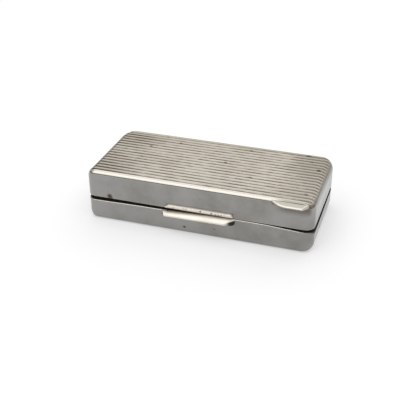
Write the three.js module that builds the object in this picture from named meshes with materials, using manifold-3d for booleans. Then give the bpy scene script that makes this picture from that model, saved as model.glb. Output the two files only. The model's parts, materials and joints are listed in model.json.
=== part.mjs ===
// A small hinged pocket box of sheet silver with a reeded lid.
// Millimetres, +Z up. The origin is the centre of the underside, -Y is the front and +X the right end.

import * as THREE from 'three';
import { mergeVertices } from 'three/addons/utils/BufferGeometryUtils.js';
import Module from 'manifold-3d';

const wasm = await Module();
wasm.setup();

// Case
const LENGTH = 62;
const WIDTH = 28;
const HEIGHT = 14;
const BASE_HEIGHT = 5.8;
const SEAM_GAP = 0.8;
const WALL = 0.8;
const PLAN_RADIUS = 3.5;
const LONG_EDGE_RADIUS = 0.85;
const END_EDGE_RADIUS = 2.4;
const LEAST_INNER_RADIUS = 0.2;
const SOLDER_FILM = 0.05;

// Reeding on the lid
const REED_PITCH = 1.515;
const REED_BORDER = 1.7;
const GROOVE_WIDTH = 0.62;
const GROOVE_DEPTH = 0.2;
const GROOVE_FADE = 0.5;
const GROOVE_END_ANGLE = 75;

// Hinge
const PIN_RADIUS = 0.45;
const PIN_CLEARANCE = 0.05;
const KNUCKLE_WALL = 0.6;
const KNUCKLE_COUNT = 7;
const KNUCKLE_GAP = 0.1;
const BARREL_CLEARANCE = 0.06;
const BARREL_PROUD = 0.15;
const BARREL_END_GAP = 0.15;
const HINGE_INSET = 0.5;
const STOP_ANGLE = 108;
const BEARER_WALL = 0.4;
const BEARER_FLOOR = 0.9;

// Bezel inside the base
const BEZEL_CLEARANCE = 0.1;
const BEZEL_THICKNESS = 0.5;
const BEZEL_RISE = 1;
const BEZEL_END_ANGLE = 10;

// Thumbpiece, one lip on the base and one on the lid
const LOWER_LIP_CENTRE = 0.8;
const LOWER_LIP_LENGTH = 20.5;
const LOWER_LIP_TAPER = 1.8;
const LOWER_LIP_REACH = 1.5;
const LOWER_LIP_FALL = 0.65;
const LOWER_LIP_DEPTH = 1.2;
const UPPER_LIP_CENTRE = 1.4;
const UPPER_LIP_LENGTH = 18.9;
const UPPER_LIP_TAPER = 1;
const UPPER_LIP_REACH = 0.9;
const UPPER_LIP_DEPTH = 1.55;
const UPPER_LIP_LIFT = 0.45;
const LIP_NOSE = 0.3;
const LIP_CORNER = 0.5;

// Tab at the lid's front right corner
const TAB_ROOT = 9.5;
const TAB_END_INSET = 1.5;
const TAB_REACH = 1.95;
const TAB_DROP = 0.18;
const TAB_THICKNESS = 0.5;
const TAB_ROOT_DEPTH = 0.95;
const TAB_CURVE = 3.3;
const TAB_CHAMFER = 1.6;

// Facets
const CORNER_STEPS = 8;
const EDGE_STEPS = 5;
const GROOVE_STEPS = 4;
const BARREL_SIDES = 24;
const PIN_SIDES = 16;
const CURVE_STEPS = 6;
const CUT_MARGIN = 1;

// Places that follow from the sizes above
const LID_RIM = BASE_HEIGHT + SEAM_GAP;
const FRONT = -WIDTH / 2;
const KNUCKLE_RADIUS = PIN_RADIUS + PIN_CLEARANCE + KNUCKLE_WALL;
const CHANNEL_RADIUS = KNUCKLE_RADIUS + BARREL_CLEARANCE;
const HINGE_LENGTH = LENGTH - 2 * (PLAN_RADIUS + HINGE_INSET);
const HINGE_Y = WIDTH / 2 + BARREL_PROUD - KNUCKLE_RADIUS;
const HINGE_Z = BASE_HEIGHT + SEAM_GAP / 2;

const { degToRad } = THREE.MathUtils;
const QUARTER = Math.PI / 2;

// Solids and cuts

function solidOf(geometry) {
  const bare = geometry.clone();
  bare.deleteAttribute('normal');
  bare.deleteAttribute('uv');
  const merged = mergeVertices(bare);
  const vertProperties = new Float32Array(merged.attributes.position.array);
  const triVerts = new Uint32Array(merged.index.array);
  return new wasm.Manifold(new wasm.Mesh({ numProp: 3, vertProperties, triVerts }));
}

function geometryOf(solid) {
  const mesh = solid.getMesh();
  const geometry = new THREE.BufferGeometry();
  geometry.setAttribute('position', new THREE.BufferAttribute(mesh.vertProperties, mesh.numProp));
  geometry.setIndex(new THREE.BufferAttribute(mesh.triVerts, 1));
  geometry.computeVertexNormals();
  return geometry;
}

function cut(geometry, cutters) {
  return geometryOf(cutters.reduce((rest, cutter) => rest.subtract(solidOf(cutter)), solidOf(geometry)));
}

function common(first, second) {
  return geometryOf(solidOf(first).intersect(solidOf(second)));
}

// Skins a stack of rings with equal point counts and closes both ends with fans.
function loft(rings) {
  const count = rings[0].length;
  const points = rings.flat();
  const faces = [];
  for (let ring = 0; ring < rings.length - 1; ring += 1) {
    for (let i = 0; i < count; i += 1) {
      const a = ring * count + i;
      const b = ring * count + (i + 1) % count;
      faces.push(a, b, b + count, a, b + count, a + count);
    }
  }
  const top = (rings.length - 1) * count;
  for (let i = 1; i < count - 1; i += 1) {
    faces.push(0, i + 1, i);
    faces.push(top, top + i, top + i + 1);
  }
  const geometry = new THREE.BufferGeometry().setFromPoints(points);
  geometry.setIndex(faces);
  return geometry;
}

// Extrudes a section drawn in Y and Z along X, centred on x = 0.
function prismAlongX(section, length) {
  const geometry = new THREE.ExtrudeGeometry(section, {
    depth: length,
    bevelEnabled: false,
    curveSegments: CURVE_STEPS,
  });
  const yzAlongX = new THREE.Matrix4().set(0, 0, 1, -length / 2, 1, 0, 0, 0, 0, 1, 0, 0, 0, 0, 0, 1);
  return geometry.applyMatrix4(yzAlongX);
}

// Extrudes a plan drawn in X and Y upwards from one height to another.
function prismAlongZ(plan, bottom, top, curveSegments = CURVE_STEPS) {
  const geometry = new THREE.ExtrudeGeometry(plan, { depth: top - bottom, bevelEnabled: false, curveSegments });
  return geometry.translate(0, 0, bottom);
}

// Extrudes a front view drawn in X and Z forwards from one depth to another.
function prismAlongY(view, back, front) {
  const geometry = new THREE.ExtrudeGeometry(view, {
    depth: back - front,
    bevelEnabled: false,
    curveSegments: CURVE_STEPS,
  });
  return geometry.rotateX(QUARTER).translate(0, back, 0);
}

// A round section whose flats, not its corners, lie at the radius when it is a hole.
function roundPoints(radius, sides, isHole = false) {
  const reach = isHole ? radius / Math.cos(Math.PI / sides) : radius;
  return Array.from({ length: sides }, (_, i) => {
    const angle = (2 * Math.PI * i) / sides;
    return new THREE.Vector2(reach * Math.cos(angle), reach * Math.sin(angle));
  });
}

// Case shells

// The plan's corner arcs. endShare is 1 where the outline faces an end and 0 where it faces front or back.
function planOutline(length, width, radius) {
  const outline = [];
  for (let corner = 0; corner < 4; corner += 1) {
    const signX = corner === 0 || corner === 3 ? 1 : -1;
    const signY = corner < 2 ? 1 : -1;
    for (let step = 0; step <= CORNER_STEPS; step += 1) {
      const angle = (corner + step / CORNER_STEPS) * QUARTER;
      const normal = new THREE.Vector2(Math.cos(angle), Math.sin(angle));
      const centre = new THREE.Vector2(signX * (length / 2 - radius), signY * (width / 2 - radius));
      outline.push({ normal, point: centre.addScaledVector(normal, radius), endShare: normal.x ** 2 });
    }
  }
  return outline;
}

// The case's outer form, grown outwards by offset: upright walls from the open height to the closed
// height, where the edge is rounded, softly at the two ends and crisply at front and back.
function caseForm(offset, open, closed) {
  const up = Math.sign(closed - open);
  const crown = closed + up * offset;
  const longEdge = Math.max(LONG_EDGE_RADIUS + offset, LEAST_INNER_RADIUS);
  const endEdge = Math.max(END_EDGE_RADIUS + offset, LEAST_INNER_RADIUS);
  const outline = planOutline(LENGTH + 2 * offset, WIDTH + 2 * offset, PLAN_RADIUS + offset);
  const rings = [outline.map(({ point }) => new THREE.Vector3(point.x, point.y, open))];
  for (let step = 0; step <= EDGE_STEPS; step += 1) {
    const turn = (step / EDGE_STEPS) * QUARTER;
    rings.push(outline.map(({ point, normal, endShare }) => {
      const radius = longEdge + (endEdge - longEdge) * endShare;
      const place = point.clone().addScaledVector(normal, -radius * (1 - Math.cos(turn)));
      return new THREE.Vector3(place.x, place.y, crown - up * radius * (1 - Math.sin(turn)));
    }));
  }
  return loft(up > 0 ? rings : rings.reverse());
}

// A round-bottomed cutter that runs along the lid and down its end edges, leaving the metal as it goes.
function grooveCutter(y) {
  const arc = (GROOVE_WIDTH ** 2 / 4 + GROOVE_DEPTH ** 2) / (2 * GROOVE_DEPTH);
  const spread = Math.asin(GROOVE_WIDTH / 2 / arc);
  const section = [new THREE.Vector2(GROOVE_WIDTH / 2, CUT_MARGIN), new THREE.Vector2(-GROOVE_WIDTH / 2, CUT_MARGIN)];
  for (let step = 0; step <= GROOVE_STEPS; step += 1) {
    const angle = -QUARTER + spread * ((2 * step) / GROOVE_STEPS - 1);
    section.push(new THREE.Vector2(arc * Math.cos(angle), arc - GROOVE_DEPTH + arc * Math.sin(angle)));
  }
  const bend = END_EDGE_RADIUS + GROOVE_FADE;
  const rings = [];
  for (const end of [-1, 1]) {
    for (let step = 0; step <= EDGE_STEPS; step += 1) {
      const share = end < 0 ? 1 - step / EDGE_STEPS : step / EDGE_STEPS;
      const lean = end * share * degToRad(GROOVE_END_ANGLE);
      const x = end * (LENGTH / 2 - END_EDGE_RADIUS);
      rings.push(section.map(({ x: across, y: out }) => new THREE.Vector3(
        x + (bend + out) * Math.sin(lean),
        y + across,
        HEIGHT - bend + (bend + out) * Math.cos(lean),
      )));
    }
  }
  return loft(rings);
}

function grooveCutters() {
  const gaps = Math.floor((WIDTH - 2 * REED_BORDER) / REED_PITCH);
  return Array.from({ length: gaps + 1 }, (_, i) => grooveCutter((i - gaps / 2) * REED_PITCH));
}

// The barrel's channel along the back, and the bevels that meet when the lid is fully open.
function hingeCutters() {
  const channel = prismAlongX(
    new THREE.Shape(roundPoints(CHANNEL_RADIUS, BARREL_SIDES, true)),
    HINGE_LENGTH + 2 * BARREL_END_GAP,
  );
  const reach = WIDTH / 2 - HINGE_Y + CUT_MARGIN;
  const spread = reach * Math.tan(degToRad(STOP_ANGLE / 2));
  const bevel = prismAlongX(
    new THREE.Shape([new THREE.Vector2(0, 0), new THREE.Vector2(reach, -spread), new THREE.Vector2(reach, spread)]),
    LENGTH + 2 * CUT_MARGIN,
  );
  return [channel, bevel].map((cutter) => cutter.translate(0, HINGE_Y, HINGE_Z));
}

function baseShell() {
  const cavity = caseForm(-WALL, BASE_HEIGHT + CUT_MARGIN, 0);
  return cut(caseForm(0, BASE_HEIGHT, 0), [cavity, ...hingeCutters()]);
}

function lidShell() {
  const cavity = caseForm(-WALL, LID_RIM - CUT_MARGIN, HEIGHT);
  return cut(caseForm(0, LID_RIM, HEIGHT), [cavity, ...hingeCutters(), ...grooveCutters()]);
}

// A strip soldered inside the base, round its front, its ends and the back corners as far as the hinge,
// which stands up into the closed lid.
function innerBezel() {
  const outer = PLAN_RADIUS - WALL - BEZEL_CLEARANCE;
  const inner = outer - BEZEL_THICKNESS;
  const x = LENGTH / 2 - PLAN_RADIUS;
  const y = WIDTH / 2 - PLAN_RADIUS;
  const end = QUARTER - degToRad(BEZEL_END_ANGLE);
  const plan = new THREE.Shape();
  plan.absarc(-x, y, outer, Math.PI - end, Math.PI, false);
  plan.absarc(-x, -y, outer, -Math.PI, -QUARTER, false);
  plan.absarc(x, -y, outer, -QUARTER, 0, false);
  plan.absarc(x, y, outer, 0, end, false);
  plan.absarc(x, y, inner, end, 0, true);
  plan.absarc(x, -y, inner, 0, -QUARTER, true);
  plan.absarc(-x, -y, inner, -QUARTER, -Math.PI, true);
  plan.absarc(-x, y, inner, Math.PI, Math.PI - end, true);
  plan.closePath();
  const foot = Math.max(END_EDGE_RADIUS, WALL);
  return prismAlongZ(plan, foot, LID_RIM + BEZEL_RISE, CORNER_STEPS);
}

// Hinge

function knuckle(length) {
  const section = new THREE.Shape(roundPoints(KNUCKLE_RADIUS, BARREL_SIDES));
  section.holes.push(new THREE.Path(roundPoints(PIN_RADIUS + PIN_CLEARANCE, PIN_SIDES, true)));
  return prismAlongX(section, length);
}

function hingePin() {
  return new THREE.CylinderGeometry(PIN_RADIUS, PIN_RADIUS, HINGE_LENGTH, PIN_SIDES).rotateZ(QUARTER);
}

// A strip inside the back wall with a hollow that beds the barrel. side is -1 on the base and 1 on the lid.
function hingeBearer(side) {
  const outerY = WIDTH / 2 - WALL - SOLDER_FILM;
  const innerY = HINGE_Y - CHANNEL_RADIUS - BEARER_WALL;
  const nearZ = HINGE_Z + (side * SEAM_GAP) / 2;
  const farZ = HINGE_Z + side * (CHANNEL_RADIUS + BEARER_FLOOR);
  const strip = new THREE.BoxGeometry(HINGE_LENGTH, outerY - innerY, Math.abs(farZ - nearZ));
  strip.translate(0, (outerY + innerY) / 2, (nearZ + farZ) / 2);
  const [channel] = hingeCutters();
  return cut(strip, [channel]);
}

// Thumbpiece and tab

// A long bar's outline, wide at one edge and tapered to a shorter far edge with rounded corners.
function taperedOutline(centre, length, taper, wide, straight, far) {
  const half = length / 2;
  const along = Math.sign(far - straight) * LIP_CORNER;
  const corner = (LIP_CORNER * taper) / Math.abs(far - straight);
  const outline = new THREE.Shape();
  outline.moveTo(centre - half, wide);
  outline.lineTo(centre - half, straight);
  outline.lineTo(centre - half + taper - corner, far - along);
  outline.quadraticCurveTo(centre - half + taper, far, centre - half + taper + LIP_CORNER, far);
  outline.lineTo(centre + half - taper - LIP_CORNER, far);
  outline.quadraticCurveTo(centre + half - taper, far, centre + half - taper + corner, far - along);
  outline.lineTo(centre + half, straight);
  outline.lineTo(centre + half, wide);
  outline.closePath();
  return outline;
}

// A bar along the front wall whose section runs from its root to a rounded nose.
function lipBar({ centre, length, reach, rootTop, rootBottom, noseBottom }) {
  const wall = FRONT - SOLDER_FILM;
  const nose = wall - reach;
  const noseTop = noseBottom + LIP_NOSE;
  const section = new THREE.Shape();
  section.moveTo(wall, rootBottom);
  section.lineTo(wall, rootTop);
  section.lineTo(nose + LIP_NOSE / 2, noseTop);
  section.quadraticCurveTo(nose, noseTop, nose, noseTop - LIP_NOSE / 2);
  section.quadraticCurveTo(nose, noseBottom, nose + LIP_NOSE / 2, noseBottom);
  section.closePath();
  return prismAlongX(section, length).translate(centre, 0, 0);
}

// A shelf under the seam, which falls away from the wall and is shorter at its front.
function lowerThumbLip() {
  const bar = lipBar({
    centre: LOWER_LIP_CENTRE,
    length: LOWER_LIP_LENGTH,
    reach: LOWER_LIP_REACH,
    rootTop: BASE_HEIGHT,
    rootBottom: BASE_HEIGHT - LOWER_LIP_DEPTH,
    noseBottom: BASE_HEIGHT - LOWER_LIP_FALL - LIP_NOSE,
  });
  const wall = FRONT - SOLDER_FILM;
  const plan = taperedOutline(
    LOWER_LIP_CENTRE,
    LOWER_LIP_LENGTH,
    LOWER_LIP_TAPER,
    wall + CUT_MARGIN,
    wall,
    wall - LOWER_LIP_REACH,
  );
  return common(bar, prismAlongZ(plan, BASE_HEIGHT - LOWER_LIP_DEPTH - CUT_MARGIN, BASE_HEIGHT + CUT_MARGIN));
}

// A sloping strip over the seam, which is shorter at its top.
function upperThumbLip() {
  const bar = lipBar({
    centre: UPPER_LIP_CENTRE,
    length: UPPER_LIP_LENGTH,
    reach: UPPER_LIP_REACH,
    rootTop: LID_RIM + UPPER_LIP_DEPTH,
    rootBottom: LID_RIM,
    noseBottom: LID_RIM + UPPER_LIP_LIFT,
  });
  const view = taperedOutline(
    UPPER_LIP_CENTRE,
    UPPER_LIP_LENGTH,
    UPPER_LIP_TAPER,
    LID_RIM - CUT_MARGIN,
    LID_RIM + UPPER_LIP_LIFT,
    LID_RIM + UPPER_LIP_DEPTH,
  );
  return common(bar, prismAlongY(view, FRONT + CUT_MARGIN, FRONT - UPPER_LIP_REACH - CUT_MARGIN));
}

// A tab with one curved and one chamfered end, thicker at its root, let onto the lid's front edge and corner.
function lidTab() {
  const left = LENGTH / 2 - TAB_END_INSET - TAB_ROOT;
  const right = LENGTH / 2 - TAB_END_INSET;
  const edge = FRONT - TAB_REACH;
  const inside = FRONT + PLAN_RADIUS;
  const top = HEIGHT - TAB_DROP;
  const plan = new THREE.Shape();
  plan.moveTo(left, inside);
  plan.lineTo(left, FRONT);
  plan.quadraticCurveTo(left + TAB_CURVE / 3, edge, left + TAB_CURVE, edge);
  plan.lineTo(right - TAB_CHAMFER, edge);
  plan.lineTo(right, edge + TAB_CHAMFER);
  plan.lineTo(right, inside);
  plan.closePath();
  const section = new THREE.Shape([
    new THREE.Vector2(inside, top),
    new THREE.Vector2(edge, top),
    new THREE.Vector2(edge, top - TAB_THICKNESS),
    new THREE.Vector2(FRONT, top - TAB_ROOT_DEPTH),
    new THREE.Vector2(inside, top - TAB_ROOT_DEPTH),
  ]);
  const wedge = prismAlongX(section, TAB_ROOT + 2 * CUT_MARGIN).translate((left + right) / 2, 0, 0);
  const tab = common(wedge, prismAlongZ(plan, top - TAB_ROOT_DEPTH - CUT_MARGIN, top + CUT_MARGIN));
  return cut(tab, [caseForm(SOLDER_FILM, LID_RIM, HEIGHT)]);
}

// Assembly

const brightSilver = new THREE.MeshStandardMaterial({ color: 0xd8d3c8, roughness: 0.28, metalness: 1 });
const wornSilver = new THREE.MeshStandardMaterial({ color: 0xc6bfb1, roughness: 0.38, metalness: 1 });
const dullSilver = new THREE.MeshStandardMaterial({ color: 0x8f8a82, roughness: 0.5, metalness: 1 });

function piece(name, geometry, material) {
  const mesh = new THREE.Mesh(geometry, material);
  mesh.name = name;
  return mesh;
}

const base = new THREE.Group();
base.add(piece('base_shell', baseShell(), brightSilver));
base.add(piece('inner_bezel', innerBezel(), dullSilver));
base.add(piece('lower_thumb_lip', lowerThumbLip(), brightSilver));
base.add(piece('hinge_bearer_base', hingeBearer(-1), dullSilver));

const lid = new THREE.Group();
lid.add(piece('lid_shell', lidShell(), wornSilver));
lid.add(piece('upper_thumb_lip', upperThumbLip(), brightSilver));
lid.add(piece('lid_tab', lidTab(), brightSilver));
lid.add(piece('hinge_bearer_lid', hingeBearer(1), dullSilver));

// The barrel: knuckles of the base and the lid take turns along one pin.
const barrel = new THREE.Group();
barrel.position.set(0, HINGE_Y, HINGE_Z);
barrel.add(piece('hinge_pin', hingePin(), dullSilver));
const knuckleLength = (HINGE_LENGTH - (KNUCKLE_COUNT - 1) * KNUCKLE_GAP) / KNUCKLE_COUNT;
for (let i = 0; i < KNUCKLE_COUNT; i += 1) {
  const owner = i % 2 === 0 ? 'base' : 'lid';
  const tube = piece(`hinge_knuckle_${owner}_${Math.floor(i / 2) + 1}`, knuckle(knuckleLength), wornSilver);
  tube.position.x = (i - (KNUCKLE_COUNT - 1) / 2) * (knuckleLength + KNUCKLE_GAP);
  barrel.add(tube);
}

const box = new THREE.Group();
box.name = 'silver_box';
box.add(base, lid, barrel);

export default box;
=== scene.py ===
"""A small hinged pocket box of sheet silver with a reeded lid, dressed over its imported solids."""

import json
import math
from collections import namedtuple

import bmesh
import bpy
import numpy as np
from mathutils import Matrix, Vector


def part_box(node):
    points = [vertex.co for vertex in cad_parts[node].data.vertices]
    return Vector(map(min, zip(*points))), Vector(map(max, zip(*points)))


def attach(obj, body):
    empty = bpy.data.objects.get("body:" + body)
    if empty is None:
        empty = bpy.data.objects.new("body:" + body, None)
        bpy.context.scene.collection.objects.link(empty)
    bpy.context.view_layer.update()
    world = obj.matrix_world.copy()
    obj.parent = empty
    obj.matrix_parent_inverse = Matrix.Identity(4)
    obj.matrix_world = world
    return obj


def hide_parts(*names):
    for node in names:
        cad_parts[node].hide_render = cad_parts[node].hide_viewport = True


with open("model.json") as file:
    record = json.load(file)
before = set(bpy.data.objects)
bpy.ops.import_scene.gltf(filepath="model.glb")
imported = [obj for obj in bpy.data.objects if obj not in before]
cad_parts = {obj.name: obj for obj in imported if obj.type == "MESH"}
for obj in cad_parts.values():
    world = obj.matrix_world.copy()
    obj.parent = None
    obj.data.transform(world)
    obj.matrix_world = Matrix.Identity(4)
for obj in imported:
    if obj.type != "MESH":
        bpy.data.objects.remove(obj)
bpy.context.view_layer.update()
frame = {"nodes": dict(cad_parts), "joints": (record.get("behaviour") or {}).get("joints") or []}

MM = 0.001

# Sizes read from the frame
lid_low, lid_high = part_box("lid_shell")
base_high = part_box("base_shell")[1]
pin_low, pin_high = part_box("hinge_pin")
knuckle_low, knuckle_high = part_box("hinge_knuckle_base_1")
bezel_low, bezel_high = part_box("inner_bezel")
tab_low, tab_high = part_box("lid_tab")
upper_low, upper_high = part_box("upper_thumb_lip")
lower_low, lower_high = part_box("lower_thumb_lip")
HALF_LENGTH = lid_high.x
HALF_WIDTH = base_high.y
FRONT = -HALF_WIDTH
TOP = lid_high.z
LID_RIM = lid_low.z
BASE_RIM = base_high.z
HINGE_Y, HINGE_Z = frame["joints"][0]["pos_m"][1:]
KNUCKLE_RADIUS = (knuckle_high.z - knuckle_low.z) / 2
PIN_RADIUS = (pin_high.z - pin_low.z) / 2

# Sizes of the case
WALL = 0.8 * MM
PLAN_RADIUS = 3.5 * MM
# Corners with a plan radius of their own: the way each faces along x and y, and its radius
WORN_CORNERS = (((1, -1), 2.4 * MM), ((-1, -1), 2.6 * MM), ((-1, 1), 4.6 * MM))
LONG_EDGE = 0.85 * MM
BACK_EDGE = 1.3 * MM
END_EDGE = 2.4 * MM
LEFT_INSET = 0.5 * MM
LEFT_REACH = 3.7 * MM
LEAST_INNER_RADIUS = 0.2 * MM
RIM_EDGE = 0.25 * MM
CHANNEL_GAP = 0.06 * MM
CHANNEL_RADIUS = KNUCKLE_RADIUS + CHANNEL_GAP
CHANNEL_END_GAP = 0.15 * MM
CHANNEL_HALF = pin_high.x + CHANNEL_END_GAP
BEVEL_ANGLE = math.radians(54)
BEVEL_SLOPE = math.tan(BEVEL_ANGLE)

# Painted shade, standing also for tarnish, that keeps the seam dark: across the rims, towards the front
# right corner and at the ends
RIM_SEAM_SHADE = (0.16 * MM, 0.28 * MM)
RIM_SHADE_SHIFT = 0.22 * MM
CORNER_SEAM_SHADE = (HALF_LENGTH - 5.5 * MM, HALF_LENGTH)
CORNER_SEAM_SHADE_MOST = 0.7
END_SEAM_SHADE = (0.85, 1.0)

# Reeding on the lid
REED_PITCH = 1.515 * MM
GROOVE_COUNT = 17
GROOVE_HALF = 0.54 * MM
GROOVE_DEPTH = 0.2 * MM
LAND_CROWN = 0.045 * MM
REED_FADE = (math.radians(36), math.radians(74))
FIELD_FADE = (math.radians(5), math.radians(50))
FIELD_MARGIN = 0.44 * MM
FIELD_BORDER = 0.15 * MM
EDGE_FADE = (math.radians(5), math.radians(35))
STRIP_TURN = math.radians(40)
STRIP_SPREAD = math.radians(11)
STRIP_CORNER = (0.2, 0.7)

# The base's uneven rim: bent up and chamfered beside the thumbpiece, and falling at the front corners
BEND_RISE = 0.73 * MM
BEND_FROM = (-13 * MM, 9 * MM)
BEND_TO = (13.5 * MM, 32.5 * MM)
BEND_DEPTH = 3.6 * MM
END_FALL = 0.56 * MM
END_FADE = (-11 * MM, 10 * MM)
END_TURN = 1.2 * MM
LEFT_FALL = 0.25 * MM
LEFT_FADE = (-28 * MM, -14 * MM)
CHAMFER_FROM = (9 * MM, 12 * MM)
CHAMFER_TO = (13 * MM, 20 * MM)
CHAMFER_DROP = 0.2 * MM
CHAMFER_WIDTH = 0.42 * MM

# Thumbpiece, tab, bezel and hinge
LOWER_TAPERS = (0.95 * MM, 2.4 * MM)
LOWER_INSETS = (0.4 * MM, 0.25 * MM)
LOWER_END_ROUND = 0.9 * MM
LOWER_FALL = 0.65 * MM
LOWER_NOSE_RISE = 0.3
LOWER_BELLY = 0.12 * MM
UPPER_TAPER = 1.0 * MM
UPPER_END_ROUND = 1.1 * MM
UPPER_RIGHT_INSET = 0.55 * MM
UPPER_LIFT = 0.75 * MM
UPPER_DROP = 0.15 * MM
UPPER_REACH = 0.8
UPPER_BELLY = 0.03 * MM
LIP_NOSE = 0.3 * MM
LIP_SEAT = 0.4 * MM
LIP_SEAT_LEAN = 0.5
LIP_SOFTNESS = 0.25 * MM
TAPER_SOFTNESS = 0.3
LEAST_LIP = 0.02 * MM
LIP_END_FADE = (0.5, 0.95)
# Painted shade, with grime, on the undersides of the lower and upper lips
LOWER_UNDERSIDE_SHADE = 0.8
UPPER_UNDERSIDE_SHADE = 0.3
TAB_CURVE = 4.2 * MM
TAB_PULL = 1.8 * MM
TAB_CHAMFER = 1.45 * MM
TAB_SLANT = 2.3 * MM
TAB_THICKNESS = 0.5 * MM
TAB_SEAT = 0.6 * MM
TAB_CORNER_SEAT = (1.2 * MM, 0.8 * MM)
TAB_SIDE_SEAT = (0.27 * MM, 0.06 * MM)
TAB_EDGE = 0.3 * MM
TAB_UNDER_EDGE = 0.12 * MM
TAB_RIM = 0.35 * MM
TAB_DISH = 0.06 * MM
TAB_LEAN = 0.24 * MM
TAB_ROOT_LINE = (FRONT + 0.05 * MM, FRONT + 0.3 * MM)
TAB_ROOT_GRIME = 0.7
# Painted shade on the tab's underside
TAB_UNDERSIDE_SHADE = 0.2
TAB_END_SHADE = 0.6
BEZEL_GAP = 0.1 * MM
BEZEL_THICKNESS = 0.5 * MM
BEZEL_EDGE = 0.16 * MM
BEZEL_END_ANGLE = math.radians(10)
PIN_CLEARANCE = 0.05 * MM
KNUCKLE_CHAMFER = 0.1 * MM
# The pin's end: distances in from it and radii there, as shares of the pin's radius
PIN_END = ((0.0, 0.55), (0.12, 0.85), (0.3, 1.0))

# Mesh density
CORNER_STEPS = 28
REED_SAMPLES = 14
PLAIN_SAMPLES = 2
COLUMN_STEP = 0.5 * MM
CHANNEL_END_STEP = 0.01 * MM
EDGE_STEPS = 10
WALL_SHARES = (0.03, 0.2, 0.4, 0.6, 0.8, 0.97, 1.0)
RIM_EDGE_STEPS = 3
RIM_FLAT_STEPS = 7
ROUND_STEPS = 48
LIP_STATIONS = 64
LIP_STEPS = 12
NOSE_STEPS = 8
# Rows round the lower lip's nose kept free of the painted shade at its ends
NOSE_UNSHADED_STEPS = 2
TAB_CURVE_STEPS = 14
TAB_FRONT_STEPS = 8
TAB_END_STEPS = 6
TAB_EDGE_STEPS = 5
BEZEL_EDGE_STEPS = 4
LEAST_COSINE = 1e-6
SHARP_ANGLE = math.radians(38)


def smoothstep(low, high, value):
    """A smooth change from 0 at low to 1 at high."""
    share = np.clip((np.asarray(value, float) - low) / (high - low), 0, 1)
    return share * share * (3 - 2 * share)


# Mesh helpers

def add_piece(name, points, faces, material, attributes=None):
    """A mesh object in metres with outward faces, soft shading and float attributes on its points."""
    mesh = bpy.data.meshes.new(name)
    mesh.from_pydata([tuple(p) for p in points], [], faces)
    for key, values in (attributes or {}).items():
        layer = mesh.attributes.new(key, "FLOAT", "POINT")
        layer.data.foreach_set("value", np.asarray(values, np.float32))
    work = bmesh.new()
    work.from_mesh(mesh)
    bmesh.ops.recalc_face_normals(work, faces=work.faces)
    work.to_mesh(mesh)
    work.free()
    mesh.shade_smooth()
    mesh.set_sharp_from_angle(angle=SHARP_ANGLE)
    mesh.materials.append(material)
    piece = bpy.data.objects.new(name, mesh)
    bpy.context.scene.collection.objects.link(piece)
    return piece


def dress(piece, body, slot, *nodes):
    """Rides a piece on its body and lets it stand for the nodes; its slot is not used."""
    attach(piece, body)
    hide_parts(*nodes)


def skin(rings):
    """Quads between closed rings of vertex numbers, given as an array of rows."""
    faces = []
    for lower, upper in zip(rings[:-1], rings[1:]):
        corners = [lower, np.roll(lower, -1), np.roll(upper, -1), upper]
        faces += np.stack(corners, 1).tolist()
    return faces


def closed_rings(rings):
    """Points and faces of a stack of rings, with both ends closed by one face."""
    rings = np.asarray(rings, float)
    count, per_ring = rings.shape[:2]
    numbers = np.arange(count * per_ring).reshape(count, per_ring)
    faces = skin(numbers)
    faces.append(numbers[0][::-1].tolist())
    faces.append(numbers[-1].tolist())
    return rings.reshape(-1, 3), faces


def turned_rings(profile):
    """Rings of points where a profile of (x, radius) is turned about the hinge's axis."""
    angles = np.linspace(0, 2 * math.pi, ROUND_STEPS, endpoint=False)
    return np.array([
        [(x, HINGE_Y + r * math.cos(a), HINGE_Z + r * math.sin(a)) for a in angles]
        for x, r in profile
    ])


def turned(profile):
    """Points and faces of a closed profile of (x, radius) turned about the hinge's axis."""
    numbers = np.arange(len(profile) * ROUND_STEPS).reshape(len(profile), ROUND_STEPS)
    looped = np.concatenate([numbers, numbers[:1]])
    return turned_rings(profile).reshape(-1, 3), skin(looped)


# Case shells

# The float attributes of a shell, by which its material varies
FINISHES = ("recess", "field", "edge", "strip", "inside", "grime")


def plan_outline(offset, end_steps, columns):
    """The case's plan, anticlockwise from the front right.

    Gives its points, their outward normals and how far each faces an end.
    """
    turns = np.linspace(0, math.pi / 2, CORNER_STEPS + 1)
    end_y = np.linspace(-1, 1, end_steps + 1)[1:-1] * (HALF_WIDTH - PLAN_RADIUS)
    angles = np.concatenate([turns - math.pi / 2, np.zeros(len(end_y)), turns])
    normals = np.stack([np.cos(angles), np.sin(angles)], 1)
    corner_y = np.full(len(turns), HALF_WIDTH - PLAN_RADIUS)
    centre_y = np.concatenate([-corner_y, end_y, corner_y])
    centre = np.stack([np.full(len(angles), HALF_LENGTH - PLAN_RADIUS), centre_y], 1)
    right = centre + normals * (PLAN_RADIUS + offset)
    back = np.stack([columns[::-1], np.full(len(columns), HALF_WIDTH + offset)], 1)
    points = np.concatenate([right, back, -right, -back])
    across = np.tile([0.0, 1.0], (len(columns), 1))
    normals = np.concatenate([normals, across, -normals, -across])
    return points, normals, normals[:, 0] ** 2


def groove_share(y):
    """How deep in a groove a place on the lid lies, from 0 on a land to 1."""
    step = np.asarray(y) / REED_PITCH
    nearest = np.clip(np.round(step), -(GROOVE_COUNT // 2), GROOVE_COUNT // 2)
    away = np.abs(step - nearest) * REED_PITCH
    return 0.5 + 0.5 * np.cos(math.pi * np.clip(away / GROOVE_HALF, 0, 1))


def reed_depth(y):
    """Depth of the reeded surface under the lid's crown: rounded grooves between crowned lands."""
    phase = np.asarray(y) / REED_PITCH
    from_land = 2 * np.abs(phase - np.floor(phase) - 0.5)
    last = (GROOVE_COUNT // 2) * REED_PITCH
    inside = np.abs(y) < last
    crown = inside * LAND_CROWN
    return crown * from_land ** 2 + (GROOVE_DEPTH - crown) * groove_share(y)


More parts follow.
